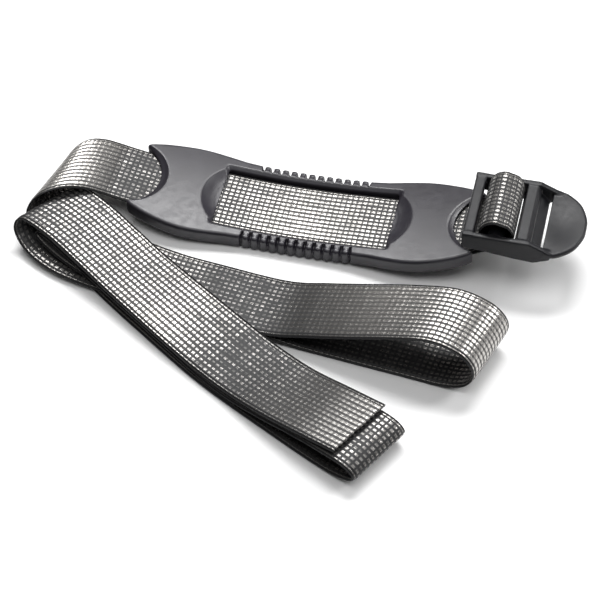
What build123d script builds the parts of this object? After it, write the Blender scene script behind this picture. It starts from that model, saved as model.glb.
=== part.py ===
"""Carrying strap: folded webbing, a moulded grip handle and a ladder-lock buckle.

Millimetres, +Z up. The strap lies folded on a flat surface at Z = 0, and +X runs along
the handle towards the buckle. The origin ends up at the bottom centre of the whole.
"""

import os
from math import atan2, cos, degrees, hypot, radians, sin, sqrt

from build123d import *

# ---- webbing ---------------------------------------------------------------
WEB_W = 25.0  # standard one-inch webbing
WEB_T = 1.2
LAYER = 1.3  # from one layer of the webbing to the next
STEP = 3.0  # distance between the sections of a long run
PER_SPAN = 4  # sections from one station of a fold to the next
LAYOUT_TURN = 13.0  # the folds below are laid out turned by this angle from the handle
GRIP_AT = (2.1, 36.7)  # the middle of the handle in that layout

# ---- grip handle: U along it, V across it ------------------------------------
GRIP_T = 6.0  # thickness of the moulding
GRIP_CURVE_R = 290.0  # radius of the underside, which rests on the table
GRIP_LOW_U = -6.0  # where the curved underside touches the table
GRIP_END = 60.5  # half length, to the tips of the horns
GRIP_MID_W = 33.6  # width across the rails at the middle, without the ribs
GRIP_WIDE_W = 39.0  # width at the widest place, over the bridges
GRIP_TIP_W = 29.0  # width across the horn tips
SKIN = 1.2  # plastic over and under the webbing channel
CHANNEL_W = 26.2
WINDOW_U = 30.0  # half length of the window
WINDOW_SCALLOP_U, BITE_U = 36.6, 49.2  # the two scallops of each bridge, at V = 0
RIBS, RIB_PITCH, RIB_W, RIB_OUT = 12, 3.15, 1.7, 1.15

# ---- buckle, in its own frame: S along it from the end bar, H up -------------
BUCKLE_U, BUCKLE_TOP = 55.9, 21.9  # the end bar's outer edge, and the rails' flat top
BUCKLE_W = 30.4
RAIL_W = 2.2
BODY_L = 22.2  # flat top of the rails
LIP_L = 29.4  # where the rails' slope meets the tab
TAB_L = 39.6
END_BAR, LOCK_BAR = (0.0, 3.7), (17.9, 22.5)
LOOP_BAR_S, LOOP_BAR_H, LOOP_BAR_R = 10.9, -3.4, 3.2  # the round bar inside the loop
LOOP_R, LOOP_MID_H = 5.6, -1.1  # the loop's round top, to the middle of the webbing
CREASE = 0.7  # how deep the loop's top is creased, lengthwise
TAB_T, TAB_DROP = 2.0, 3.1
TAB_START = 26.65
SEAM_U = 38.0  # where the short end of the loop is cut, inside the handle
SEAM_LEN, SEAM_ROWS, STITCH_W, STITCH_T = 7.0, 8, 0.7, 0.18
LEAD_START_U = -67.0  # the webbing follows the handle's curve up to here


# ---- small helpers -----------------------------------------------------------
def to_row(station):
    """A station of the fold layout, in the frame of the handle."""
    x, y, z, across, roll = station
    x, y, turn = x - GRIP_AT[0], y - GRIP_AT[1], radians(LAYOUT_TURN)
    return (x * cos(turn) - y * sin(turn), x * sin(turn) + y * cos(turn), z, across + LAYOUT_TURN, roll)


def arc_height(u, above):
    """Height of a line that runs along the handle, this far above its underside."""
    radius = GRIP_CURVE_R - above
    return GRIP_CURVE_R - sqrt(radius**2 - (u - GRIP_LOW_U) ** 2)


def catmull(points, per_span):
    """A smooth curve through the stations, each a tuple of equal length."""
    first = tuple(2 * a - b for a, b in zip(points[0], points[1]))
    last = tuple(2 * a - b for a, b in zip(points[-1], points[-2]))
    line = [first, *points, last]
    out = []
    for k in range(1, len(line) - 2):
        p0, p1, p2, p3 = line[k - 1 : k + 3]
        for j in range(per_span):
            t = j / per_span
            out.append(
                tuple(
                    0.5 * (2 * b + (c - a) * t + (2 * a - 5 * b + 4 * c - d) * t**2
                           + (3 * b - a - 3 * c + d) * t**3)
                    for a, b, c, d in zip(p0, p1, p2, p3)
                )
            )
    out.append(tuple(points[-1]))
    return out


def sections(stations):
    """Rectangles across the webbing. A station is x, y, z, heading of its width, roll."""
    faces = []
    for k, (x, y, z, across, roll) in enumerate(stations):
        x0, y0, z0 = stations[max(k - 1, 0)][:3]
        x1, y1, z1 = stations[min(k + 1, len(stations) - 1)][:3]
        width = Vector(cos(radians(across)), sin(radians(across)), sin(radians(roll))).normalized()
        along = Vector(x1 - x0, y1 - y0, z1 - z0)
        along = (along - width * along.dot(width)).normalized()
        plane = Plane(origin=(x, y, z), x_dir=width, z_dir=along)
        faces.append(plane * Rectangle(WEB_W, WEB_T).face())
    return faces


def ribbon(faces):
    """A length of webbing through these sections."""
    return loft(faces, ruled=True)


# ---- the folded webbing --------------------------------------------------------
# Stations of the centre line from the handle to the free end, set by eye: x, y, z,
# the heading of the width in degrees, and its roll.
LEAD_OUT = [(-70.5, 51.4, 13.0, 76, 0), (-77.0, 49.8, 14.8, 72, 0), (-82.8, 47.4, 13.8, 66, 0)]
LEAD_FOLD = [(-86.4, 45.0, 9.8, 60, 0), (-85.8, 42.6, 5.2, 54, 0), (-82.0, 38.4, 2.0, 48, 0)]
LOWER_DIAGONAL = [(-74.0, 29.5, 0.8, 43, 0), (-56.4, 8.4, 0.6, 42, 0), (-44.7, -4.9, 0.6, 43, 0),
                  (-23.8, -27.6, 0.6, 46, 0), (0.0, -49.0, 0.6, 48, 0), (14.0, -61.0, 0.8, 48.6, 0)]
FRONT_FOLD = [(21.5, -67.0, 2.3, 48.6, 0), (24.6, -69.6, 5.3, 48.6, 0), (21.4, -67.0, 8.4, 48.6, 0)]
MIDDLE_DIAGONAL = [(12.3, -59.3, 8.0, 48.6, 0), (4.0, -52.0, 6.4, 48.4, 0),
                   (-4.3, -45.0, 4.6, 48, 0), (-16.5, -34.0, 3.0, 47.5, 3),
                   (-27.0, -23.5, 3.6, 46, 5), (-41.0, -8.5, 4.5, 43, 3), (-56.4, 8.4, 4.7, 42, 0)]
INNER_FOLD = [(-68.0, 20.8, 5.9, 42, 0), (-76.5, 29.4, 7.5, 42, 0), (-81.2, 33.4, 6.4, 43, 0),
              (-78.5, 29.8, 4.9, 47, 0)]
UPPER_RUN = [(-71.0, 22.4, 4.0, 55, 0), (-60.0, 14.2, 3.3, 66, 0), (-45.0, 6.6, 3.2, 71, 0),
             (-30.0, 1.0, 3.2, 71.2, 0), (-8.0, -6.5, 3.4, 71.2, 0), (6.0, -11.2, 7.4, 71.2, 0),
             (19.0, -15.6, 11.8, 71, 0), (32.0, -19.6, 16.0, 69, 0)]
RIGHT_FOLD = [(45.5, -23.8, 19.2, 65, 0), (55.0, -27.8, 17.8, 62, 0), (59.9, -29.9, 13.5, 60, 0),
              (61.0, -30.6, 8.0, 59, 0), (57.5, -29.3, 3.0, 61, 0)]
LOWER_RUN = [(49.0, -26.2, 0.9, 67, 0), (38.0, -22.2, 0.6, 70, 0), (6.0, -11.2, 0.7, 71.2, 0),
             (-8.0, -6.5, 1.9, 71.2, 0), (-30.0, 1.0, 1.9, 71.2, 0), (-45.0, 6.6, 1.9, 71, 0),
             (-60.0, 13.0, 1.9, 64, 0)]
OUTER_FOLD = [(-72.0, 18.4, 2.0, 54, 0), (-79.3, 23.4, 2.3, 48, 0), (-84.3, 28.6, 3.2, 44, 0),
              (-86.9, 32.6, 5.4, 41, 0), (-87.4, 34.6, 8.4, 40, 0), (-84.8, 35.2, 10.8, 40, 0)]
TOP_DIAGONAL = [(-75.1, 27.6, 9.8, 40, 0), (-64.0, 16.0, 8.2, 41, 0), (-55.0, 6.6, 6.5, 42, 0),
                (-41.0, -8.5, 5.9, 43, 3), (-27.0, -23.0, 5.0, 46, 5), (-16.0, -33.6, 4.6, 47, 3),
                (-4.3, -44.6, 6.2, 48, 0), (8.0, -55.0, 9.0, 48.6, 0), (18.4, -63.0, 10.6, 48, 0)]
PIECES = [
    ("webbing_lead_out", LEAD_OUT), ("webbing_lead_fold", LEAD_FOLD),
    ("webbing_lower_diagonal", LOWER_DIAGONAL), ("webbing_front_fold", FRONT_FOLD),
    ("webbing_middle_diagonal", MIDDLE_DIAGONAL), ("webbing_inner_fold", INNER_FOLD),
    ("webbing_upper_run", UPPER_RUN), ("webbing_right_fold", RIGHT_FOLD),
    ("webbing_lower_run", LOWER_RUN), ("webbing_outer_fold", OUTER_FOLD),
    ("webbing_top_diagonal", TOP_DIAGONAL),
]


def grip_station(u, above=GRIP_T / 2):
    """A station of the webbing inside the handle, this far over the handle's underside."""
    return (u, 0.0, arc_height(u, above), 90.0, 0.0)


def grip_stations():
    """The webbing through the handle; at the seam it drops to make room for the loop's end."""
    count = round((SEAM_U - LEAD_START_U) / STEP)
    stations = []
    for k in range(count + 1):
        u = SEAM_U - k * (SEAM_U - LEAD_START_U) / count
        drop = min(max((u - 20.0) / 14.0, 0.0), 1.0) * LAYER / 2
        stations.append(grip_station(u, GRIP_T / 2 - drop))
    return stations


def webbing_pieces():
    """The webbing from the seam in the handle to the free end, cut into named lengths."""
    through = grip_stations()
    folds = [grip_station(LEAD_START_U)]
    names, ends = ["webbing_grip_run"], [0, len(through) - 1]
    for name, stations in PIECES:
        folds += [to_row(station) for station in stations]
        names.append(name)
        ends.append(len(through) - 1 + (len(folds) - 1) * PER_SPAN)
    faces = sections(through[:-1] + catmull(folds, PER_SPAN))
    return {name: ribbon(faces[a : b + 1]) for name, a, b in zip(names, ends, ends[1:])}


# ---- handle ----------------------------------------------------------------------
def grip_outline():
    """The handle seen from above: waisted, with two horns at each end."""
    side = [
        (-GRIP_END, GRIP_TIP_W / 2), (-52.0, 17.6), (-41.0, GRIP_WIDE_W / 2), (-30.0, 18.8),
        (-19.5, GRIP_MID_W / 2 + 0.3), (0.0, GRIP_MID_W / 2), (19.5, GRIP_MID_W / 2 + 0.3),
        (30.0, 18.8), (41.0, GRIP_WIDE_W / 2), (52.0, 17.6), (GRIP_END, GRIP_TIP_W / 2),
    ]
    far = Spline(*side)
    near = Spline(*[(u, -v) for u, v in reversed(side)])
    right = Line(side[-1], (side[-1][0], -side[-1][1]))
    left = Line((side[0][0], -side[0][1]), side[0])
    return make_face(Wire([far, right, near, left]))


def band(low, high, width):
    """A curved layer of the handle, between two heights over its underside."""
    start, stop = -GRIP_END - 4.0, GRIP_END + 4.0
    middle = 0.5 * (start + stop)
    ends = [(start, arc_height(start, h)) for h in (low, high)]
    tops = [(stop, arc_height(stop, h)) for h in (low, high)]
    under = ThreePointArc(ends[0], (middle, arc_height(middle, low)), tops[0])
    over = ThreePointArc(ends[1], (middle, arc_height(middle, high)), tops[1])
    edges = [under, Line(tops[0], tops[1]), over, Line(ends[1], ends[0])]
    profile = Plane.XZ * make_face(Wire(edges))
    return extrude(profile, amount=width / 2, both=True)


def scallop(deep_u, corner_u, corner_v, drop):
    """A cone that cuts a round bite with a sloping wall; deep_u is its deepest place."""
    sag = abs(corner_u - deep_u)
    radius = (corner_v**2 + sag**2) / (2 * sag)
    centre = deep_u + radius * (1 if corner_u > deep_u else -1)
    top = arc_height(deep_u, GRIP_T)
    low = top - drop
    cone = Cone(radius - 3.2, radius + 1.3, 1.4 * drop, align=(Align.CENTER, Align.CENTER, Align.MIN))
    return Pos(centre, 0, low) * cone


def handle():
    """One moulding: a curved bar with a window, a webbing channel and ribbed rails."""
    outline = extrude(grip_outline(), amount=30)
    body = outline & band(0.0, GRIP_T, 60.0)
    for k in range(RIBS):
        u = (k - (RIBS - 1) / 2) * RIB_PITCH
        for side in (1, -1):
            rib = Pos(u, side * (GRIP_MID_W / 2 - 0.9), 0) * Cylinder(RIB_W / 2 + 1.15, 30)
            body += rib & band(0.6, GRIP_T - 0.6, 2 * (GRIP_MID_W / 2 + RIB_OUT))
    body -= band(SKIN, GRIP_T - SKIN, CHANNEL_W)
    body -= Pos(0, 0, 10) * Box(2 * WINDOW_U, CHANNEL_W, 30)
    for side in (1, -1):
        body -= scallop(side * WINDOW_SCALLOP_U, side * WINDOW_U, CHANNEL_W / 2, SKIN)
        body -= scallop(side * BITE_U, side * (GRIP_END - 1.0), CHANNEL_W / 2 + 0.9, SKIN)
        body -= Pos(side * (GRIP_END + 8.0), 0, 10) * Cylinder(16.0, 30)
    return body


# ---- buckle ------------------------------------------------------------------------
def slab(points, width):
    """A side profile in S and H, extruded across the buckle."""
    return extrude(Plane.XZ * make_face(Polyline(*points, close=True)), amount=width / 2, both=True)


def bar(span, low, high, round_r):
    """A crossbar with rounded long edges."""
    block = Pos((span[0] + span[1]) / 2, 0, (low + high) / 2) * Box(span[1] - span[0], BUCKLE_W, high - low)
    return fillet(block.edges().filter_by(Axis.Y), round_r)


def buckle():
    """One moulding: two rails, three crossbars and a rounded tab to lift."""
    rail = [(0.0, 0.0), (BODY_L, 0.0), (LIP_L, -TAB_DROP - 0.2), (LIP_L, -6.0), (24.2, -8.3),
            (17.5, -7.9), (6.0, -6.6), (0.0, -6.2)]
    inside = BUCKLE_W - 2 * RAIL_W
    body = slab(rail, BUCKLE_W) - Pos(15, 0, 0) * Box(60, inside, 40)
    body += bar(END_BAR, -2.9, 0.0, 0.7)
    round_bar = Rot(90, 0, 0) * Cylinder(LOOP_BAR_R, BUCKLE_W - RAIL_W)
    body += Pos(LOOP_BAR_S, 0, LOOP_BAR_H) * round_bar
    left, right = LOCK_BAR
    lock = [(left, -0.2), (right - 1.2, -0.2), (right, -1.8), (right, -3.6), (right + 3.2, -6.6),
            (right + 3.2, -7.4), (left - 1.0, -7.4), (left - 1.0, -5.0), (left, -3.6)]
    body += slab(lock, BUCKLE_W)
    tab_low, tab_top = -TAB_DROP - TAB_T, -TAB_DROP
    blade = [(TAB_START, tab_low), (TAB_START, tab_top), (TAB_L, tab_top - 0.2), (TAB_L, tab_low + 0.3)]
    half = BUCKLE_W / 2
    round_end = Spline((28.0, half), (31.5, half - 0.5), (36.5, 10.5), (TAB_L, 3.6), (TAB_L, -3.6),
                       (36.5, -10.5), (31.5, -half + 0.5), (28.0, -half))
    back = Polyline((28.0, -half), (24.0, -half), (24.0, half), (28.0, half))
    shape = make_face(Wire([round_end, *back.edges()]))
    body += slab(blade, BUCKLE_W + 2) & Pos(0, 0, -15) * extrude(shape, amount=30)
    return body


# ---- the loop round the buckle's bar -------------------------------------------------
def offset_path(points, gap):
    """The two sides of a strip that follows these points."""
    left, right = [], []
    for k, (x, y) in enumerate(points):
        x0, y0 = points[max(k - 1, 0)]
        x1, y1 = points[min(k + 1, len(points) - 1)]
        length = hypot(x1 - x0, y1 - y0)
        nx, ny = -(y1 - y0) / length, (x1 - x0) / length
        left.append((x + nx * gap, y + ny * gap))
        right.append((x - nx * gap, y - ny * gap))
    return left, right


def loop_path():
    """Centre line of the fixed loop in U and Z: out of the handle, round the bar and back."""
    middle = BUCKLE_U + LOOP_BAR_S
    over, under = GRIP_T / 2 + LAYER / 2, GRIP_T / 2 - LAYER / 2
    start = SEAM_U + 0.1
    us = [start + k * (57.0 - start) / 8 for k in range(9)]
    path = [(u, arc_height(u, over)) for u in us]
    path += [(59.4, 11.95), (61.1, 13.7)]
    path += [(middle - 4.95, BUCKLE_TOP - 6.0), (middle - 5.3, BUCKLE_TOP - 3.6)]
    for a in [*range(180, -1, -15), -20, -40]:
        reach = LOOP_R - (CREASE if a == 75 else 0.0)
        path.append((middle + reach * cos(radians(a)), BUCKLE_TOP + LOOP_MID_H + reach * sin(radians(a))))
    path += [(middle + 3.0, BUCKLE_TOP - 6.35), (middle + 1.5, BUCKLE_TOP - 7.35)]
    path += [(middle - 0.1, BUCKLE_TOP - 7.75), (middle - 1.4, 13.6)]
    path += [(62.4, 12.15), (60.5, 11.05), (58.9, 10.05)]
    path += [(u, arc_height(u, under)) for u in reversed(us)]
    return path


def fixed_loop():
    """The short loop that holds the buckle; both its ends lie in the handle."""
    left, right = offset_path(loop_path(), WEB_T / 2)
    profile = make_face(Polyline(*left, *reversed(right), close=True))
    return extrude(Plane.XZ * profile, amount=WEB_W / 2, both=True)


def stitching():
    """The zigzag seam over the loop's short end."""
    middle = SEAM_U + 5.5
    level = arc_height(middle, GRIP_T / 2 + LAYER / 2 + WEB_T / 2) + 0.05
    slope = degrees(atan2(middle - GRIP_LOW_U, GRIP_CURVE_R))
    step = 18.0 / SEAM_ROWS
    thread = None
    for k in range(SEAM_ROWS):
        y0, y1 = -9.0 + k * step, -9.0 + (k + 1) * step
        x0, x1 = (-SEAM_LEN / 2, SEAM_LEN / 2) if k % 2 == 0 else (SEAM_LEN / 2, -SEAM_LEN / 2)
        turn = degrees(atan2(y1 - y0, x1 - x0))
        bar_len = hypot(x1 - x0, y1 - y0) + STITCH_W
        place = Location(((x0 + x1) / 2, (y0 + y1) / 2, STITCH_T / 2), (0, 0, turn))
        one = place * Box(bar_len, STITCH_W, STITCH_T)
        thread = one if thread is None else thread + one
    return Location((middle, 0, level), (0, -slope, 0)) * thread


# ---- the whole strap -------------------------------------------------------------------
def build():
    """Every node of the strap, moved so that the origin is the bottom centre of its box."""
    solids = webbing_pieces()
    solids["webbing_fixed_loop"] = fixed_loop()
    solids["loop_stitching"] = stitching()
    solids["grip_handle"] = handle()
    solids["buckle"] = Pos(BUCKLE_U, 0, BUCKLE_TOP) * buckle()
    boxes = [solid.bounding_box() for solid in solids.values()]
    low_x, high_x = min(box.min.X for box in boxes), max(box.max.X for box in boxes)
    low_y, high_y = min(box.min.Y for box in boxes), max(box.max.Y for box in boxes)
    low_z = min(box.min.Z for box in boxes)
    shift = Pos(-(low_x + high_x) / 2, -(low_y + high_y) / 2, -low_z)
    return {name: shift * solid for name, solid in solids.items()}, shift


def main():
    """Write one STEP file for each node."""
    os.makedirs("parts", exist_ok=True)
    solids, shift = build()
    for name, solid in solids.items():
        export_step(solid, f"parts/{name}.step")
    print("moved by", shift.position)


if __name__ == "__main__":
    main()
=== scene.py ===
"""Looks of a carrying strap: folded woven webbing, a moulded grip handle and a ladder-lock buckle.

Shapes are worked out in millimetres in the handle's own frame, U along it and V across it,
and put in the row frame in metres when each mesh is made.
"""

import bpy
import numpy as np
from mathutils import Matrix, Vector


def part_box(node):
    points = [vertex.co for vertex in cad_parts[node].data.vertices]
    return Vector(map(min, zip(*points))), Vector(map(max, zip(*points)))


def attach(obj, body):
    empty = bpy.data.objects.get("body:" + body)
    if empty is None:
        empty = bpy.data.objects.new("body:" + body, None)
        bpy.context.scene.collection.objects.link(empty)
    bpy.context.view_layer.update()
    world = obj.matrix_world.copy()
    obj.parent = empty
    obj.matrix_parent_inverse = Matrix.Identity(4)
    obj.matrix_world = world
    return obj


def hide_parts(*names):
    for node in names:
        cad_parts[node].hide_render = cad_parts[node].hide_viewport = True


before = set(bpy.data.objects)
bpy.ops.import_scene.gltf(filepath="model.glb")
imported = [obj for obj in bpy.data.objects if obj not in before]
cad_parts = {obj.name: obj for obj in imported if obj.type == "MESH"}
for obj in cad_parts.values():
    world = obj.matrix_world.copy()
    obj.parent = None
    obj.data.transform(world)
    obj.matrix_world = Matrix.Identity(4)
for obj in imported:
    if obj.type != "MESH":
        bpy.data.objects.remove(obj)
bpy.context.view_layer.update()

MM = 0.001
SEED = 11

# ---- places, from the frame ----------------------------------------------------
GRIP_LOW, GRIP_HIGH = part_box("grip_handle")
BUCKLE_LOW, BUCKLE_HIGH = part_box("buckle")
ORIGIN = np.array([
    (GRIP_LOW.x + GRIP_HIGH.x) / 2 / MM, (GRIP_LOW.y + GRIP_HIGH.y) / 2 / MM, GRIP_LOW.z / MM,
])

# ---- webbing, in millimetres ----------------------------------------------------
WEB_W, WEB_T = 25.0, 1.2
LAYER = 1.3  # from one layer of the webbing to the next
RIB_PITCH = 1.85  # from one warp rib of the weave to the next
RIB_COUNT = 12
PICK_PITCH = 1.85  # from one weft thread to the next
CELL_STEPS = 4  # mesh steps over one rib or one pick
RIB_HEIGHT, PICK_HEIGHT = 0.07, 0.03
SELVAGE_FROM, SELVAGE_AT = 11.15, 11.62  # where the edge cord starts, and its middle
RIM_FROM, RIM_AT, RIM_R, RIM_HALF_T = 11.95, 11.9, 0.6, 0.44  # the rounded outer edge
LIFT_SPREAD, FRAY = 0.10, 0.12  # how uneven the ribs are, and the cut end
FILAMENT_PITCH, TWIST_PITCH = 0.31, 0.46  # the yarn's own fine relief
LAYOUT_TURN = 13.0  # the folds below are laid out turned by this angle from the handle
GRIP_AT = (2.1, 36.7)  # the middle of the handle in that layout

# ---- handle -------------------------------------------------------------------
GRIP_T = 6.0
GRIP_CURVE_R = 290.0  # radius of the underside
GRIP_LOW_U = -6.0  # where the underside touches the table
GRIP_END = 60.5
GRIP_SIDE = [(0, 16.8), (19.5, 17.1), (30, 18.8), (41, 19.5), (52, 17.6), (GRIP_END, 14.5)]
GRIP_EDGE_R, TIP_R = 1.1, 2.4
CROWN, CROWN_V = 0.7, 19.0  # how much lower the top is at the sides
HORN_AT, HORN_R = 68.5, 16.0  # the round gap between the two horns of each end
CHANNEL_HALF = 13.1  # half the width of the webbing's way through
CHANNEL_LOW, CHANNEL_HIGH, SEAM_ROOM = 1.2, 3.95, 0.9  # its floor and roof, and room for the seam
WINDOW_U, WINDOW_BEVEL_V = 30.0, 14.5  # half the window's length, and its bevel's outer edge
BEVEL_REACH, BEVEL_SLOPE = 2.2, 0.85
SCALLOP_U, SCALLOP_R, SCALLOP_REACH, SCALLOP_DEPTH = 36.6, 16.3, 6.6, 1.9  # the window's ends
BITE_U, BITE_R, BITE_REACH = 49.2, 14.67, 3.6  # the round hollows in the handle's ends
BITE_DEPTH, LOOP_BITE_DEPTH = 1.9, 1.05  # at the lead-out's end, and at the loop's
GRIP_RIBS, GRIP_RIB_PITCH = 12, 3.15
RIB_ROUND_V, RIB_FOOT_V, RIB_HALF_W, RIB_OUT = 16.0, 15.0, 1.0, 0.95
RIBS_END_U, RIB_RECESS, PAD_OUT = 19.5, 0.5, 0.7  # the ribs lie in a recess between four pads
RIB_GROOVE = 1.7
SEAM_U = 38.0  # where the loop's short end is cut, inside the handle
LEAD_START_U = -67.0  # the webbing follows the handle's curve up to here

# ---- buckle, S along it from the end bar and H up from the rails' flat top ---------
BUCKLE_U, BUCKLE_TOP, BUCKLE_W = 55.9, 21.9, 30.4
RAIL_W = 2.2
RAIL_SIDE = [
    (0.0, 0.0), (22.2, 0.0), (29.4, -3.3), (29.4, -6.0), (24.2, -8.3), (17.5, -7.9), (6.0, -6.6),
    (0.0, -6.2),
]
END_BAR, END_BAR_T, END_BAR_R = (0.0, 3.7), 2.9, 0.7
LOCK_L, LOCK_R = 17.9, 22.5
LOCK_SIDE = [
    (LOCK_L, -0.2), (LOCK_R - 1.2, -0.2), (LOCK_R, -1.8), (LOCK_R, -3.6), (LOCK_R + 3.2, -6.6),
    (LOCK_R + 3.2, -7.4), (LOCK_L - 1.0, -7.4), (LOCK_L - 1.0, -5.0), (LOCK_L, -3.6),
]
LOOP_BAR_S, LOOP_BAR_H, LOOP_BAR_R = 10.9, -3.4, 3.2  # the round bar inside the loop
LOOP_R, LOOP_MID_H, CREASE = 5.6, -1.1, 0.7  # the loop's round top, and the crease along it
TAB_L, TAB_DROP, TAB_T, TAB_START = 39.6, 3.1, 2.0, 26.65
TAB_DISH, DISH_S, DISH_HALF_L, DISH_HALF_W = 0.55, 31.5, 7.6, 12.5
BAR_INSET, LOCK_INSET = 0.4, 0.3  # how far the crossbars stop short of the rails' outer faces
BUCKLE_FILLET = 0.45

# ---- camera and floor, in metres, degrees and (the lens) millimetres ---------------
VIEW_ELEVATION, VIEW_TURN, VIEW_DISTANCE = 48.0, 13.0, 0.700
VIEW_TARGET = (0.00585, 0.0089, 0.0)
LENS, SENSOR = 126.0, 36.0
FLOOR_HALF = 3.0

# ---- colours ----------------------------------------------------------------------
BLACK_YARN, SILVER_YARN = (0.004, 0.004, 0.005, 1), (0.52, 0.50, 0.475, 1)
GRIP_GREYS = ((0.016, 0.014, 0.020, 1), (0.023, 0.021, 0.028, 1))
BUCKLE_BLACKS = ((0.008, 0.008, 0.010, 1), (0.012, 0.012, 0.014, 1))
THREAD_BLACKS = ((0.012, 0.012, 0.013, 1), (0.05, 0.05, 0.052, 1))
FLOOR_WHITES = ((0.90, 0.90, 0.90, 1), (0.92, 0.92, 0.92, 1))


# ================================ mesh helpers ====================================
def make_piece(name, points_mm, quads, material, body, uv=None, sheen=None):
    """A smooth-shaded mesh from points in millimetres and quads."""
    mesh = bpy.data.meshes.new(name)
    mesh.vertices.add(len(points_mm))
    mesh.vertices.foreach_set("co", (np.asarray(points_mm) * MM).astype(np.float32).ravel())
    mesh.loops.add(4 * len(quads))
    mesh.loops.foreach_set("vertex_index", np.asarray(quads, np.int32).ravel())
    mesh.polygons.add(len(quads))
    mesh.polygons.foreach_set("loop_start", np.arange(0, 4 * len(quads), 4, dtype=np.int32))
    mesh.update(calc_edges=True)
    mesh.validate()
    mesh.shade_smooth()
    if uv is not None:
        layer = mesh.uv_layers.new(name="weave")
        layer.data.foreach_set("uv", uv[np.asarray(quads).ravel()].astype(np.float32).ravel())
    # A second UV map that carries the painted sheen, when one is given.
    if sheen is not None:
        layer = mesh.uv_layers.new(name="sheen")
        layer.data.foreach_set("uv", sheen[np.asarray(quads).ravel()].astype(np.float32).ravel())
    piece = bpy.data.objects.new(name, mesh)
    bpy.context.scene.collection.objects.link(piece)
    mesh.materials.append(material)
    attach(piece, body)
    return piece


def smooth_max(a, b, k):
    """The larger of two distances, with a fillet of about k where they meet."""
    h = np.clip(0.5 + 0.5 * (a - b) / k, 0.0, 1.0)
    return b + (a - b) * h + k * h * (1.0 - h)


def smooth_min(a, b, k):
    return -smooth_max(-a, -b, k)


def rounded(a, b, radius):
    """Where two faces meet, the distance to them with their edge rounded by the radius."""
    a, b = a + radius, b + radius
    return np.hypot(np.maximum(a, 0), np.maximum(b, 0)) + np.minimum(np.maximum(a, b), 0) - radius


def dished(inside, reach, depth):
    """Depth of a hollow with a round wall, at a distance inside its rim."""
    return depth * (1 - (1 - np.clip(inside / reach, 0, 1)) ** 2)


def ramp(x, low, high):
    """0 below low, 1 above high, and a smooth step between."""
    t = np.clip((x - low) / (high - low), 0.0, 1.0)
    return t * t * (3.0 - 2.0 * t)


def skin(field, axes):
    """Points and quads of the surface where a sampled distance field is zero."""
    inside = field < 0
    cells = tuple(n - 1 for n in field.shape)
    total = np.zeros(cells + (3,))
    count = np.zeros(cells)
    index = np.stack(np.meshgrid(*[np.arange(n) for n in cells], indexing="ij"), -1)
    for axis in range(3):
        others = [a for a in range(3) if a != axis]
        low = [slice(None)] * 3
        high = [slice(None)] * 3
        low[axis], high[axis] = slice(0, -1), slice(1, None)
        f0, f1 = field[tuple(low)], field[tuple(high)]
        crossed = inside[tuple(low)] != inside[tuple(high)]
        where = np.where(crossed, f0 / np.where(crossed, f0 - f1, 1.0), 0.0)
        for da in (0, 1):
            for db in (0, 1):
                part = [slice(None)] * 3
                part[others[0]] = slice(da, da + cells[others[0]])
                part[others[1]] = slice(db, db + cells[others[1]])
                hit = crossed[tuple(part)]
                offset = np.zeros(cells + (3,))
                offset[..., axis] = where[tuple(part)]
                offset[..., others[0]] = da
                offset[..., others[1]] = db
                total += offset * hit[..., None]
                count += hit
    used = count > 0
    place = index[used] + total[used] / count[used][:, None]
    points = np.stack([np.interp(place[:, a], np.arange(len(axes[a])), axes[a]) for a in range(3)], 1)
    number = np.full(cells, -1)
    number[used] = np.arange(used.sum())
    quads = []
    for axis in range(3):
        b, c = (axis + 1) % 3, (axis + 2) % 3
        low = [slice(1, -1)] * 3
        high = [slice(1, -1)] * 3
        low[axis], high[axis] = slice(0, -1), slice(1, None)
        i0, i1 = inside[tuple(low)], inside[tuple(high)]
        start = np.zeros(3, int)
        start[b] = start[c] = 1
        for flip, mask in ((False, i0 & ~i1), (True, ~i0 & i1)):
            at = np.argwhere(mask) + start
            eb, ec = np.eye(3, dtype=int)[b], np.eye(3, dtype=int)[c]
            ring = [at - eb - ec, at - ec, at, at - eb]
            ring = ring[::-1] if flip else ring
            quads.append(np.stack([number[tuple(r.T)] for r in ring], 1))
    return points, np.concatenate(quads)


def grid(low, high, step):
    return np.arange(low, high + step, step)


def polygon_distance(x, y, corners):
    """Distance to a polygon in the plane, negative inside."""
    best = np.full(np.broadcast(x, y).shape, 1e9)
    inside = np.zeros(best.shape, bool)
    for (x0, y0), (x1, y1) in zip(corners, corners[1:] + corners[:1]):
        dx, dy = x1 - x0, y1 - y0
        t = np.clip(((x - x0) * dx + (y - y0) * dy) / (dx * dx + dy * dy), 0, 1)
        best = np.minimum(best, np.hypot(x - x0 - t * dx, y - y0 - t * dy))
        crosses = (y0 > y) != (y1 > y)
        inside ^= crosses & (x < x0 + (y - y0) * dx / (dy if dy else 1e-9))
    return np.where(inside, -best, best)


def catmull(points, per_span):
    """A smooth curve through the points, an array with one row for each."""
    points = np.asarray(points, float)
    line = np.vstack([2 * points[0] - points[1], points, 2 * points[-1] - points[-2]])
    p0, p1, p2, p3 = line[:-3], line[1:-2], line[2:-1], line[3:]
    t = (np.arange(per_span) / per_span)[None, :, None]
    p0, p1, p2, p3 = p0[:, None], p1[:, None], p2[:, None], p3[:, None]
    spans = 0.5 * (2 * p1 + (p2 - p0) * t + (2 * p0 - 5 * p1 + 4 * p2 - p3) * t**2
                   + (3 * p1 - p0 - 3 * p2 + p3) * t**3)
    return np.vstack([spans.reshape(-1, points.shape[1]), points[-1:]])


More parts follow.
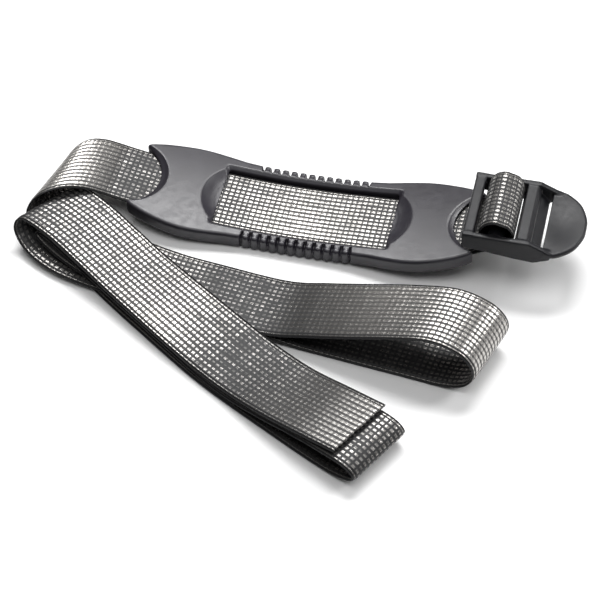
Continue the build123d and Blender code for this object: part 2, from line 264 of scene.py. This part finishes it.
# ================================ materials =======================================
class Shader:
    """A node material with short calls for the nodes used here."""

    def __init__(self, name):
        self.material = bpy.data.materials.new(name)
        self.material.use_nodes = True
        self.tree = self.material.node_tree
        self.surface = self.tree.nodes["Principled BSDF"]

    def node(self, kind, **values):
        made = self.tree.nodes.new(kind)
        for key, value in values.items():
            setattr(made, key, value)
        return made

    def put(self, socket, value):
        if isinstance(value, bpy.types.NodeSocket):
            self.tree.links.new(value, socket)
        else:
            socket.default_value = value

    def math(self, operation, a, b=0.0, c=0.0):
        made = self.node("ShaderNodeMath", operation=operation)
        for socket, value in zip(made.inputs, (a, b, c)):
            self.put(socket, value)
        return made.outputs[0]

    def step(self, value, low, high, to_low=0.0, to_high=1.0):
        """A smooth step of a value from to_low to to_high."""
        made = self.node("ShaderNodeMapRange", interpolation_type="SMOOTHSTEP")
        for name, number in (("Value", value), ("From Min", low), ("From Max", high),
                             ("To Min", to_low), ("To Max", to_high)):
            self.put(made.inputs[name], number)
        return made.outputs["Result"]

    def noise(self, vector, scale, detail=3.0, roughness=0.5):
        made = self.node("ShaderNodeTexNoise")
        self.put(made.inputs["Vector"], vector)
        self.put(made.inputs["Scale"], scale)
        self.put(made.inputs["Detail"], detail)
        self.put(made.inputs["Roughness"], roughness)
        return made.outputs["Fac"]

    def mix(self, factor, a, b):
        made = self.node("ShaderNodeMix", data_type="RGBA")
        self.put(made.inputs["Factor"], factor)
        self.put(made.inputs[6], a)
        self.put(made.inputs[7], b)
        return made.outputs[2]

    def bump(self, height, distance, strength=1.0, normal=None):
        made = self.node("ShaderNodeBump")
        self.put(made.inputs["Height"], height)
        self.put(made.inputs["Distance"], distance)
        self.put(made.inputs["Strength"], strength)
        if normal is not None:
            self.put(made.inputs["Normal"], normal)
        return made.outputs["Normal"]

    def combine(self, x, y, z=0.0):
        made = self.node("ShaderNodeCombineXYZ")
        for socket, value in zip(made.inputs, (x, y, z)):
            self.put(socket, value)
        return made.outputs[0]

    def position(self):
        return self.node("ShaderNodeTexCoord").outputs["Object"]

    def set(self, name, value):
        self.put(self.surface.inputs[name], value)


def moulded_plastic(name, colours, roughness, shine):
    """Satin injection-moulded plastic with a fine spark-eroded grain."""
    s = Shader(name)
    place = s.position()
    cloud = s.noise(place, 70.0, 4.0)
    speck = s.noise(place, 2600.0, 2.0)
    scuff = s.noise(place, 420.0, 5.0, 0.65)
    s.set("Base Color", s.mix(s.step(cloud, 0.35, 0.65), *colours))
    rough = s.math("ADD", s.step(scuff, 0.35, 0.7, -0.035, 0.05), roughness)
    s.set("Roughness", s.math("ADD", rough, s.step(speck, 0.3, 0.7, -0.02, 0.02)))
    s.set("Specular IOR Level", shine)
    fine = s.bump(speck, 0.02 * MM)
    s.set("Normal", s.bump(scuff, 0.01 * MM, 0.6, fine))
    return s.material


def woven_webbing():
    """Black webbing whose ribs carry glossy silvery threads.

    The first UV map has the place across and along the webbing in millimetres. The second
    has the painted sheen there: how brightly the silvery threads are painted, and how much they stand
    out from the black.
    """
    s = Shader("webbing_weave")
    uv = s.node("ShaderNodeUVMap", uv_map="weave").outputs[0]
    split = s.node("ShaderNodeSeparateXYZ")
    s.put(split.inputs[0], uv)
    across, along = split.outputs[0], split.outputs[1]
    # Painted sheen, read from the second UV map: how bright the silvery threads are painted, and
    # their contrast.
    painted_sheen_channels = s.node("ShaderNodeSeparateXYZ")
    s.put(painted_sheen_channels.inputs[0], s.node("ShaderNodeUVMap", uv_map="sheen").outputs[0])
    painted_sheen_level, contrast = painted_sheen_channels.outputs[0], painted_sheen_channels.outputs[1]
    rib = s.math("ABSOLUTE", s.math("SINE", s.math("MULTIPLY", across, np.pi / RIB_PITCH)))
    pick = s.math("ABSOLUTE", s.math("SINE", s.math("MULTIPLY", along, np.pi / PICK_PITCH)))
    on_rib = s.step(rib, 0.42, 0.86)
    on_pick = s.step(pick, 0.22, 0.75)
    stretched = s.combine(s.math("MULTIPLY", across, 3.1), s.math("MULTIPLY", along, 0.11))
    streak = s.noise(stretched, 1.0, 3.0)
    cell = s.node("ShaderNodeTexWhiteNoise", noise_dimensions="2D")
    column = s.math("FLOOR", s.math("DIVIDE", across, RIB_PITCH))
    row = s.math("FLOOR", s.math("DIVIDE", along, PICK_PITCH))
    s.put(cell.inputs["Vector"], s.combine(column, row))
    cross = s.math("MULTIPLY", contrast, 0.75)
    cross = s.math("ADD", s.math("MULTIPLY", on_pick, cross), s.math("SUBTRACT", 1.0, cross))
    cover = s.math("MULTIPLY", on_rib, cross)
    weft = s.math("MULTIPLY", s.math("SUBTRACT", 1.0, on_rib), s.math("MULTIPLY", on_pick, 0.2))
    lines = s.math("MAXIMUM", cover, weft)
    lines = s.math("MULTIPLY", lines, s.step(streak, 0.32, 0.60, 0.6, 1.05))
    uneven = s.math("ADD", s.math("MULTIPLY", cell.outputs["Value"], 0.3), 0.72)
    lines = s.math("MULTIPLY", lines, uneven)
    # The painted sheen thins the silvery lines where it is low, and lays an even grey fill of painted
    # sheen where the contrast is low.
    narrow = s.math("MULTIPLY", s.math("SUBTRACT", 1.0, painted_sheen_level), contrast)
    none_at = s.math("MULTIPLY", narrow, 0.5)
    full_at = s.math("ADD", s.math("MULTIPLY", narrow, 0.35), 0.7)
    lines = s.step(lines, none_at, full_at)
    fill = s.math("MULTIPLY", s.math("SUBTRACT", 1.0, contrast), 0.25)
    silver_and_sheen = s.math("ADD", s.math("MULTIPLY", lines, s.math("SUBTRACT", 1.0, fill)), fill)
    edge = s.math("ABSOLUTE", across)
    body = s.step(edge, 10.95, 11.15, 1.0, 0.0)
    cord = s.step(s.math("ABSOLUTE", s.math("SUBTRACT", edge, SELVAGE_AT)), 0.16, 0.30, 1.0, 0.0)
    cord = s.math("MULTIPLY", cord, s.math("ADD", s.math("MULTIPLY", on_pick, 0.6), 0.3))
    silver_and_sheen = s.math("MAXIMUM", s.math("MULTIPLY", silver_and_sheen, body), cord)
    # The silvery colour brightened and darkened by the painted sheen.
    bright = s.math("POWER", painted_sheen_level, s.math("SUBTRACT", 1.1, s.math("MULTIPLY", contrast, 0.55)))
    shade = s.math("MULTIPLY", silver_and_sheen, bright)
    s.set("Base Color", s.mix(shade, BLACK_YARN, SILVER_YARN))
    s.set("Metallic", s.math("MULTIPLY", silver_and_sheen, 0.85))
    s.set("Roughness", s.step(silver_and_sheen, 0.1, 0.9, 0.55, 0.27))
    filament = s.math("SINE", s.math("MULTIPLY", across, 2 * np.pi / FILAMENT_PITCH))
    twist = s.math("SINE", s.math("MULTIPLY", along, 2 * np.pi / TWIST_PITCH))
    drawn_out = s.combine(s.math("MULTIPLY", across, 9.0), s.math("MULTIPLY", along, 1.6))
    fibre = s.noise(drawn_out, 1.0, 2.0)
    fine = s.bump(s.math("ADD", filament, s.math("MULTIPLY", twist, 0.35)), 0.006 * MM)
    s.set("Normal", s.bump(fibre, 0.03 * MM, 0.7, fine))
    return s.material


def sewing_thread():
    """Black bonded thread with a two-ply twist."""
    s = Shader("sewing_thread")
    place = s.position()
    ply = s.node("ShaderNodeTexWave", wave_type="BANDS", bands_direction="DIAGONAL")
    s.put(ply.inputs["Vector"], place)
    s.put(ply.inputs["Scale"], 900.0)
    shade = s.noise(place, 900.0)
    s.set("Base Color", s.mix(shade, *THREAD_BLACKS))
    s.set("Roughness", s.step(shade, 0.3, 0.7, 0.4, 0.6))
    s.set("Normal", s.bump(ply.outputs["Fac"], 0.05 * MM))
    return s.material


def pale_floor():
    """A matt, nearly white floor."""
    s = Shader("studio_floor")
    cloud = s.noise(s.position(), 3.0, 2.0)
    s.set("Base Color", s.mix(cloud, *FLOOR_WHITES))
    s.set("Roughness", 0.9)
    s.set("Specular IOR Level", 0.1)
    return s.material


# ================================ webbing =========================================
# Stations of the folded webbing's centre line, from the handle to the free end, listed
# as in the CAD: x, y, z in the fold layout, heading of the width, and its roll.
FOLDS = [
    (-70.5, 51.4, 13.0, 76, 0), (-77.0, 49.8, 14.8, 72, 0), (-82.8, 47.4, 13.8, 66, 0),
    (-86.4, 45.0, 9.8, 60, 0), (-85.8, 42.6, 5.2, 54, 0), (-82.0, 38.4, 2.0, 48, 0),
    (-74.0, 29.5, 0.8, 43, 0), (-56.4, 8.4, 0.6, 42, 0), (-44.7, -4.9, 0.6, 43, 0),
    (-23.8, -27.6, 0.6, 46, 0), (0.0, -49.0, 0.6, 48, 0), (14.0, -61.0, 0.8, 48.6, 0),
    (21.5, -67.0, 2.3, 48.6, 0), (24.6, -69.6, 5.3, 48.6, 0), (21.4, -67.0, 8.4, 48.6, 0),
    (12.3, -59.3, 8.0, 48.6, 0), (4.0, -52.0, 6.4, 48.4, 0), (-4.3, -45.0, 4.6, 48, 0),
    (-16.5, -34.0, 3.0, 47.5, 3), (-27.0, -23.5, 3.6, 46, 5), (-41.0, -8.5, 4.5, 43, 3),
    (-56.4, 8.4, 4.7, 42, 0), (-68.0, 20.8, 5.9, 42, 0), (-76.5, 29.4, 7.5, 42, 0),
    (-81.2, 33.4, 6.4, 43, 0), (-78.5, 29.8, 4.9, 47, 0), (-71.0, 22.4, 4.0, 55, 0),
    (-60.0, 14.2, 3.3, 66, 0), (-45.0, 6.6, 3.2, 71, 0), (-30.0, 1.0, 3.2, 71.2, 0),
    (-8.0, -6.5, 3.4, 71.2, 0), (6.0, -11.2, 7.4, 71.2, 0), (19.0, -15.6, 11.8, 71, 0),
    (32.0, -19.6, 16.0, 69, 0), (45.5, -23.8, 19.2, 65, 0), (55.0, -27.8, 17.8, 62, 0),
    (59.9, -29.9, 13.5, 60, 0), (61.0, -30.6, 8.0, 59, 0), (57.5, -29.3, 3.0, 61, 0),
    (49.0, -26.2, 0.9, 67, 0), (38.0, -22.2, 0.6, 70, 0), (6.0, -11.2, 0.7, 71.2, 0),
    (-8.0, -6.5, 1.9, 71.2, 0), (-30.0, 1.0, 1.9, 71.2, 0), (-45.0, 6.6, 1.9, 71, 0),
    (-60.0, 13.0, 1.9, 64, 0), (-72.0, 18.4, 2.0, 54, 0), (-79.3, 23.4, 2.3, 48, 0),
    (-84.3, 28.6, 3.2, 44, 0), (-86.9, 32.6, 5.4, 41, 0), (-87.4, 34.6, 8.4, 40, 0),
    (-84.8, 35.2, 10.8, 40, 0), (-75.1, 27.6, 9.8, 40, 0), (-64.0, 16.0, 8.2, 41, 0),
    (-55.0, 6.6, 6.5, 42, 0), (-41.0, -8.5, 5.9, 43, 3), (-27.0, -23.0, 5.0, 46, 5),
    (-16.0, -33.6, 4.6, 47, 3), (-4.3, -44.6, 6.2, 48, 0), (8.0, -55.0, 9.0, 48.6, 0),
    (18.4, -63.0, 10.6, 48, 0),
]


# Painted sheen along the webbing: the silvery threads' own colour, brightened where light would
# catch them and darkened where it would not. The columns: the distance from the loop's short end,
# how much silvery colour and painted sheen there is in the middle of the width, how much more of
# it there is at one edge and less at the other, and how much it stands out from the black.
PAINTED_SHEEN = [
    (0, 0.40, 0.0, 0.9), (45, 0.45, 0.0, 0.9), (69, 0.30, 0.0, 0.9), (93, 0.35, -0.2, 0.9),
    (105, 0.55, -0.1, 0.8), (129, 0.70, -0.25, 0.6), (151, 0.50, -0.15, 0.9), (174, 0.20, 0.0, 1.0),
    (191, 0.10, 0.2, 1.0), (199, 0.60, 0.1, 0.6), (213, 1.00, 0.1, 0.4), (225, 0.70, 0.0, 0.7),
    (249, 0.60, 0.0, 0.8), (299, 0.62, 0.0, 0.7), (312, 0.35, 0.0, 0.9), (321, 0.12, 0.0, 1.0),
    (349, 0.20, 0.0, 0.5), (369, 0.30, 0.3, 0.8), (383, 0.40, 0.3, 1.0), (397, 0.25, 0.3, 1.0),
    (429, 0.16, 0.0, 0.7), (454, 0.10, 0.0, 1.0), (489, 0.55, 0.0, 0.7), (537, 0.60, 0.0, 0.9),
    (574, 0.50, 0.0, 0.9), (589, 0.35, 0.0, 0.9), (600, 0.07, 0.1, 1.0), (621, 0.10, 0.2, 1.0),
    (639, 0.24, 0.3, 0.5), (659, 0.50, 0.3, 0.3), (673, 0.42, 0.3, 0.5), (683, 0.85, 0.1, 1.0),
    (699, 1.10, 0.0, 0.8), (709, 1.00, 0.0, 0.8), (718, 0.30, 0.4, 1.0), (731, 0.12, 0.4, 1.0),
    (769, 0.10, 0.3, 1.0), (794, 0.08, 0.1, 1.0), (814, 0.40, 0.0, 0.8), (859, 0.35, 0.1, 0.9),
    (869, 0.12, 0.1, 1.0), (880, 0.30, 0.2, 1.0), (899, 0.50, 0.1, 0.9), (921, 0.45, 0.0, 0.8),
    (940, 0.60, -0.1, 0.7), (950, 0.50, -0.3, 0.7), (958, 0.30, -0.2, 0.8), (968, 0.07, 0.0, 1.0),
    (982, 0.09, 0.0, 1.0), (997, 0.17, 0.0, 0.5), (1009, 0.20, 0.0, 0.25), (1023, 0.35, 0.1, 0.3),
]


def arc_height(u, above):
    """Height of a line that runs along the handle, this far above its underside."""
    return GRIP_CURVE_R - np.sqrt((GRIP_CURVE_R - above) ** 2 - (u - GRIP_LOW_U) ** 2)


def fold_stations():
    """The fold layout turned into the handle's frame."""
    x, y, z, across, roll = np.array(FOLDS).T
    x, y, turn = x - GRIP_AT[0], y - GRIP_AT[1], np.radians(LAYOUT_TURN)
    c, s = np.cos(turn), np.sin(turn)
    return np.stack([x * c - y * s, x * s + y * c, z, across + LAYOUT_TURN, roll], 1)


def loop_stations():
    """The sewn loop: from its short end in the handle, round the buckle's bar and back."""
    middle = BUCKLE_U + LOOP_BAR_S
    over, under = GRIP_T / 2 + LAYER / 2, GRIP_T / 2 - LAYER / 2
    us = np.linspace(SEAM_U + 0.1, 57.0, 9)
    path = [(u, arc_height(u, over)) for u in us]
    path += [(59.4, 11.95), (61.1, 13.7)]
    path += [(middle - 4.95, BUCKLE_TOP - 6.0), (middle - 5.3, BUCKLE_TOP - 3.6)]
    for degrees in [*range(180, -1, -15), -20, -40]:
        a, reach = np.radians(degrees), LOOP_R - (CREASE if degrees == 75 else 0.0)
        path.append((middle + reach * np.cos(a), BUCKLE_TOP + LOOP_MID_H + reach * np.sin(a)))
    path += [(middle + 3.0, BUCKLE_TOP - 6.35), (middle + 1.5, BUCKLE_TOP - 7.35)]
    path += [(middle - 0.1, BUCKLE_TOP - 7.75), (middle - 1.4, 13.6)]
    path += [(62.4, 12.15), (60.5, 11.05), (58.9, 10.05)]
    path += [(u, arc_height(u, under)) for u in us[::-1]]
    return np.array([(u, 0.0, z, 90.0, 0.0) for u, z in path])


def grip_stations():
    """The webbing through the handle, lower where the loop's short end lies over it."""
    us = np.arange(SEAM_U - 2.5, LEAD_START_U - 1e-6, -2.5)
    drop = np.clip((us - 20.0) / 14.0, 0.0, 1.0) * LAYER / 2
    z = arc_height(us, GRIP_T / 2 - drop)
    return np.stack([us, 0 * us, z, 0 * us + 90.0, 0 * us], 1)


def spaced(stations, step):
    """The centre line again with even steps, and the length of it."""
    line = catmull(stations, 12)
    along = np.concatenate([[0], np.cumsum(np.linalg.norm(np.diff(line[:, :3], axis=0), axis=1))])
    keep = np.concatenate([[True], np.diff(along) > 1e-9])
    at = np.linspace(0, along[-1], round(along[-1] / step) + 1)
    return np.stack([np.interp(at, along[keep], line[keep, k]) for k in range(5)], 1), at


def unit(rows):
    return rows / np.linalg.norm(rows, axis=1)[:, None]


def smoothed(rows, times):
    """Rows averaged with their neighbours, so that the folds turn softly."""
    for _ in range(times):
        rows[1:-1] = 0.25 * rows[:-2] + 0.5 * rows[1:-1] + 0.25 * rows[2:]
    return rows


def column_places():
    """Where the mesh's columns lie across the webbing: the ribs, then the edge cords."""
    half = RIB_COUNT * RIB_PITCH / 2
    inner = np.linspace(-half, half, RIB_COUNT * CELL_STEPS + 1)
    outer = np.array([11.32, 11.62, 11.92, 12.14, 12.34, 12.46, 12.5])
    return np.concatenate([-outer[::-1], inner, outer])


def surface_height(across, along, lift):
    """How far the woven face stands from the webbing's middle."""
    rib = np.abs(np.sin(np.pi * across / RIB_PITCH))
    pick = np.abs(np.sin(np.pi * along / PICK_PITCH))
    weave = RIB_HEIGHT * rib * (0.55 + 0.45 * pick) + PICK_HEIGHT * pick
    edge = np.abs(across)
    woven = WEB_T / 2 - RIB_HEIGHT - PICK_HEIGHT + weave * lift
    cord = WEB_T / 2 - 0.14 - 0.9 * np.clip(np.abs(edge - SELVAGE_AT) - 0.1, 0, 1)
    tape = np.where(edge > SELVAGE_FROM, cord + PICK_HEIGHT * pick, woven)
    rim = RIM_HALF_T * np.sqrt(np.clip(1 - ((edge - RIM_AT) / RIM_R) ** 2, 0, 1))
    return np.where(edge > RIM_FROM, np.minimum(tape, rim), tape)


def ribbon_quads(rows, columns):
    """Quads over the top, the underside, the two edges and the two ends of the webbing."""
    top, under = np.arange(2 * rows * columns).reshape(2, rows, columns)
    return np.concatenate([
        np.stack([top[:-1, :-1], top[:-1, 1:], top[1:, 1:], top[1:, :-1]], -1).reshape(-1, 4),
        np.stack([under[:-1, :-1], under[1:, :-1], under[1:, 1:], under[:-1, 1:]], -1).reshape(-1, 4),
        np.stack([top[:-1, 0], top[1:, 0], under[1:, 0], under[:-1, 0]], -1),
        np.stack([top[:-1, -1], under[:-1, -1], under[1:, -1], top[1:, -1]], -1),
        np.stack([top[0, :-1], under[0, :-1], under[0, 1:], top[0, 1:]], -1),
        np.stack([top[-1, :-1], top[-1, 1:], under[-1, 1:], under[-1, :-1]], -1),
    ])


def per_point(across, along):
    """A pair of values for each point of both faces."""
    return np.tile(np.stack(np.broadcast_arrays(across, along), -1).reshape(-1, 2), (2, 1))


def ribbon_mesh(stations):
    """Points, quads, weave values and painted sheen values of the whole webbing, and its length."""
    line, at = spaced(stations, PICK_PITCH / CELL_STEPS)
    places = smoothed(line[:, :3].copy(), 10)
    heading, roll = np.radians(line[:, 3]), np.radians(line[:, 4])
    width = unit(np.stack([np.cos(heading), np.sin(heading), np.sin(roll)], 1))
    tangent = np.gradient(places, axis=0)
    tangent = unit(tangent - width * (tangent * width).sum(1)[:, None])
    up = np.cross(width, tangent)
    across = column_places()
    rng = np.random.default_rng(SEED)
    rows, columns = len(at), len(across)
    picks = (at / PICK_PITCH).astype(int)
    ribs = np.clip(((across + RIB_COUNT * RIB_PITCH / 2) / RIB_PITCH).astype(int), 0, RIB_COUNT - 1)
    points = []
    for side in (1, -1):
        lift = rng.normal(1.0, LIFT_SPREAD, (picks.max() + 1, RIB_COUNT))[picks][:, ribs]
        height = surface_height(across[None], at[:, None], lift)
        ends = np.minimum(at, at[-1] - at)
        height = height * (0.55 + 0.45 * ramp(ends, 0.0, 0.9))[:, None]
        points.append(places[:, None] + across[None, :, None] * width[:, None]
                      + side * height[..., None] * up[:, None])
    fray = rng.normal(0, FRAY, columns)
    for part in points:
        part[-1] += fray[:, None] * tangent[-1]
    weave = per_point(across[None], at[:, None])
    # Painted sheen: the silvery threads' colour raised and lowered along the length and across the
    # width, where light would catch them.
    stop, middle, lean, contrast = np.array(PAINTED_SHEEN).T
    lean = np.interp(at, stop, lean)[:, None] * across[None] / (WEB_W / 2)
    silver_and_sheen = np.interp(at, stop, middle)[:, None] * (1.0 + lean)
    sheen = per_point(silver_and_sheen, np.interp(at, stop, contrast)[:, None])
    points = np.concatenate([p.reshape(-1, 3) for p in points]) + ORIGIN
    return points, ribbon_quads(rows, columns), weave, sheen, at[-1]


def make_webbing(material):
    stations = np.vstack([loop_stations(), grip_stations(), fold_stations()])
    points, quads, weave, sheen, length = ribbon_mesh(stations)
    piece = make_piece("webbing_strap", points, quads, material, "webbing", weave, sheen)
    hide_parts(*[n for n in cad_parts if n.startswith("webbing_")])
    return piece


# ================================ handle ==========================================
def handle_field(u, v, w):
    """Distance to the handle's surface, W up from its curved underside."""
    a, b = np.abs(u), np.abs(v)
    side = catmull(GRIP_SIDE, 12)
    half = np.interp(a, side[:, 0], side[:, 1])
    slope = np.interp(a, side[:, 0], np.gradient(side[:, 1], side[:, 0]))
    past_ribs = ramp(a, RIBS_END_U - 0.6, RIBS_END_U)
    proud = PAD_OUT * past_ribs * (1 - ramp(a, 20, 29)) - RIB_RECESS * (1 - past_ribs)
    wall = (b - half - proud) / np.sqrt(1 + slope**2)

    nearest = np.clip(np.round(a / GRIP_RIB_PITCH - 0.5), 0, GRIP_RIBS / 2 - 1)
    off_rib = np.abs(a - (nearest + 0.5) * GRIP_RIB_PITCH)
    rib = np.where(b > RIB_ROUND_V, np.hypot(off_rib, b - RIB_ROUND_V), off_rib) - RIB_HALF_W
    rib = np.maximum(rib, RIB_FOOT_V - b)
    wall = smooth_min(wall, rib - RIB_OUT * ramp(b, RIB_ROUND_V, RIB_ROUND_V + 1), 0.3)

    plan = smooth_max(wall, a - GRIP_END, TIP_R)
    plan = smooth_max(plan, HORN_R - np.hypot(a - HORN_AT, v), 0.8)
    top = GRIP_T - CROWN * (b / CROWN_V) ** 2
    beside_window = (1 - ramp(a, RIBS_END_U - 0.9, RIBS_END_U - 0.3)) * ramp(b, 14.6, 15.1)
    top = top - RIB_GROOVE * beside_window * ramp(off_rib, 0.95, 1.35)
    in_scallop = SCALLOP_R - np.hypot(a - (SCALLOP_U - SCALLOP_R), v)
    scallop = dished(in_scallop, SCALLOP_REACH, SCALLOP_DEPTH) * (a > WINDOW_U - 0.6)
    bevel = np.clip(WINDOW_BEVEL_V - b, 0, BEVEL_REACH) * BEVEL_SLOPE * (1 - ramp(a, 29.6, 31.6))
    in_bite = BITE_R - np.hypot(a - (BITE_U + BITE_R), v)
    bite = dished(in_bite, BITE_REACH, np.where(u > 0, LOOP_BITE_DEPTH, BITE_DEPTH))
    top = top - np.maximum(np.maximum(scallop, bevel), bite)

    body = rounded(plan, np.maximum(w - top, -w), GRIP_EDGE_R)
    ceiling = CHANNEL_HIGH + SEAM_ROOM * ramp(u, SEAM_U - 1.5, SEAM_U + 0.5)
    channel = np.maximum(np.maximum(b - CHANNEL_HALF, CHANNEL_LOW - w), w - ceiling)
    window = smooth_max(a - WINDOW_U, b - CHANNEL_HALF, 0.8)
    return smooth_max(smooth_max(body, -channel, 0.25), -window, 0.3)


def make_handle(material):
    """The handle's field as a mesh, bent to the curve of its underside."""
    finer_at_ribs = np.concatenate([grid(-62, -20.6, 0.4), grid(-20, 20, 0.21), grid(20.6, 62, 0.4)])
    axes = [finer_at_ribs, grid(-21, 21, 0.3), grid(-0.7, 6.8, 0.25)]
    u, v, w = np.meshgrid(*axes, indexing="ij")
    points, quads = skin(handle_field(u, v, w), axes)
    points[:, 2] = arc_height(points[:, 0], points[:, 2])
    piece = make_piece("grip_handle_moulding", points + ORIGIN, quads, material, "grip")
    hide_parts("grip_handle")
    return piece


# ================================ buckle ==========================================
def buckle_field(s, y, h):
    """Distance to the ladder-lock buckle's surface."""
    b = np.abs(y)
    half = BUCKLE_W / 2
    rail_wall = np.abs(b - half + RAIL_W / 2) - RAIL_W / 2
    rails = smooth_max(polygon_distance(s, h, RAIL_SIDE), rail_wall, 0.7)
    lock = smooth_max(polygon_distance(s, h, LOCK_SIDE), b - half + LOCK_INSET, 0.4)

    across_end = np.abs(s - sum(END_BAR) / 2) - (END_BAR[1] - END_BAR[0]) / 2
    end = rounded(across_end, np.abs(h + END_BAR_T / 2) - END_BAR_T / 2, END_BAR_R)
    end = np.maximum(end, b - half + BAR_INSET)
    loop = np.hypot(s - LOOP_BAR_S, h - LOOP_BAR_H) - LOOP_BAR_R
    loop = np.maximum(loop, b - half + BAR_INSET)

    side = catmull([(24.0, half), (28.0, half), (31.5, half - 0.5), (36.5, 10.5), (39.2, 4.4),
                    (TAB_L, 0.0)], 12)
    tab_wall = polygon_distance(s, b, [tuple(p) for p in side] + [(TAB_L, -9.0), (24.0, -9.0)])
    off_middle = np.hypot((s - DISH_S) / DISH_HALF_L, y / DISH_HALF_W)
    blade_top = -TAB_DROP - TAB_DISH * (1 - ramp(off_middle, 0.0, 1.0))
    blade = np.maximum(np.maximum(h - blade_top, -TAB_DROP - TAB_T - h), TAB_START - s)
    tab = smooth_max(blade, tab_wall, 1.0)

    solid = smooth_min(rails, end, BUCKLE_FILLET)
    solid = smooth_min(solid, loop, BUCKLE_FILLET)
    solid = smooth_min(solid, lock, BUCKLE_FILLET)
    return smooth_min(solid, tab, 0.6)


def make_buckle(material):
    """The buckle's field as a mesh, put where the CAD's buckle is."""
    axes = [grid(-1, 41, 0.26), grid(-16.4, 16.4, 0.26), grid(-9.2, 1.6, 0.22)]
    s, y, h = np.meshgrid(*axes, indexing="ij")
    points, quads = skin(buckle_field(s, y, h), axes)
    middle_y = (BUCKLE_LOW.y + BUCKLE_HIGH.y) / 2
    corner = np.array([BUCKLE_LOW.x, middle_y, BUCKLE_HIGH.z]) / MM
    piece = make_piece("buckle_moulding", points + corner, quads, material, "buckle")
    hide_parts("buckle")
    return piece


# ================================ sewing ==========================================
def make_stitching(material):
    """The zigzag seam over the loop's short end, as round thread."""
    low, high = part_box("loop_stitching")
    low, high = np.array(low) / MM, np.array(high) / MM
    rows, radius, sides = 8, 0.22, 8
    corners = []
    for k in range(rows + 1):
        x = low[0] if k % 2 == 0 else high[0]
        y = low[1] + (high[1] - low[1]) * k / rows
        u = x - ORIGIN[0]
        corners.append((x, y, ORIGIN[2] + arc_height(u, GRIP_T / 2 + LAYER / 2 + WEB_T / 2) + 0.12))
    line = catmull(corners, 14)
    tangent = unit(np.gradient(line, axis=0))
    side = unit(np.cross(tangent, np.array([0.0, 0.0, 1.0])))
    up = np.cross(side, tangent)
    turn = np.linspace(0, 2 * np.pi, sides, endpoint=False)
    ring = np.cos(turn)[None, :, None] * side[:, None] + np.sin(turn)[None, :, None] * up[:, None]
    wave = radius * (1 + 0.12 * np.sin(np.arange(len(line)) * 1.3))[:, None, None]
    points = (line[:, None] + wave * ring).reshape(-1, 3)
    number = np.arange(len(line) * sides).reshape(-1, sides)
    ahead = np.roll(number, -1, axis=1)
    quads = np.stack([number[:-1], ahead[:-1], ahead[1:], number[1:]], -1).reshape(-1, 4)
    piece = make_piece("loop_seam_thread", points, quads, material, "webbing")
    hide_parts("loop_stitching")
    return piece


# ================================ studio ==========================================
def make_floor():
    """A large flat floor at the table's level."""
    mesh = bpy.data.meshes.new("floor")
    corners = [(x * FLOOR_HALF, y * FLOOR_HALF, 0) for x, y in ((-1, -1), (1, -1), (1, 1), (-1, 1))]
    mesh.from_pydata(corners, [], [(0, 1, 2, 3)])
    floor = bpy.data.objects.new("floor", mesh)
    bpy.context.scene.collection.objects.link(floor)
    mesh.materials.append(pale_floor())


def direction(turn, elevation):
    """A unit vector from the object: turn from -Y towards +X, elevation over the floor."""
    t, e = np.radians(turn), np.radians(elevation)
    return Vector((np.sin(t) * np.cos(e), -np.cos(t) * np.cos(e), np.sin(e)))


def make_camera():
    """A long lens at the viewing angle."""
    data = bpy.data.cameras.new("camera")
    data.lens, data.sensor_width = LENS, SENSOR
    camera = bpy.data.objects.new("camera", data)
    back = direction(VIEW_TURN, VIEW_ELEVATION)
    camera.location = Vector(VIEW_TARGET) + VIEW_DISTANCE * back
    camera.rotation_euler = (-back).to_track_quat("-Z", "Y").to_euler()
    data.clip_start, data.clip_end = 0.01, 20.0
    bpy.context.scene.collection.objects.link(camera)
    bpy.context.scene.camera = camera


def softbox(name, turn, elevation, distance, width, height, power):
    """A rectangular light that faces the object."""
    data = bpy.data.lights.new(name, "AREA")
    data.shape, data.size, data.size_y, data.energy = "RECTANGLE", width, height, power
    light = bpy.data.objects.new(name, data)
    away = direction(turn, elevation)
    light.location = Vector(VIEW_TARGET) + distance * away
    light.rotation_euler = away.to_track_quat("Z", "Y").to_euler()
    bpy.context.scene.collection.objects.link(light)


def make_lights():
    """Soft lights behind, above and to the right, and a dim even surround."""
    softbox("back_softbox", turn=190, elevation=58, distance=1.2, width=0.8, height=0.34, power=15)
    softbox("overhead", turn=20, elevation=80, distance=1.5, width=1.2, height=1.0, power=10)
    softbox("right_softbox", turn=120, elevation=30, distance=1.1, width=0.3, height=0.4, power=5)
    world = bpy.data.worlds.new("studio")
    world.use_nodes = True
    surround = world.node_tree.nodes["Background"]
    surround.inputs["Color"].default_value = (1, 1, 1, 1)
    surround.inputs["Strength"].default_value = 0.10
    bpy.context.scene.world = world
    bpy.context.scene.view_settings.view_transform = "Standard"


# ================================ the whole scene ===================================
make_camera()
make_lights()
make_floor()
make_handle(moulded_plastic("grip_plastic_satin", GRIP_GREYS, roughness=0.38, shine=0.6))
make_webbing(woven_webbing())
make_buckle(moulded_plastic("buckle_plastic_satin", BUCKLE_BLACKS, roughness=0.40, shine=0.28))
make_stitching(sewing_thread())
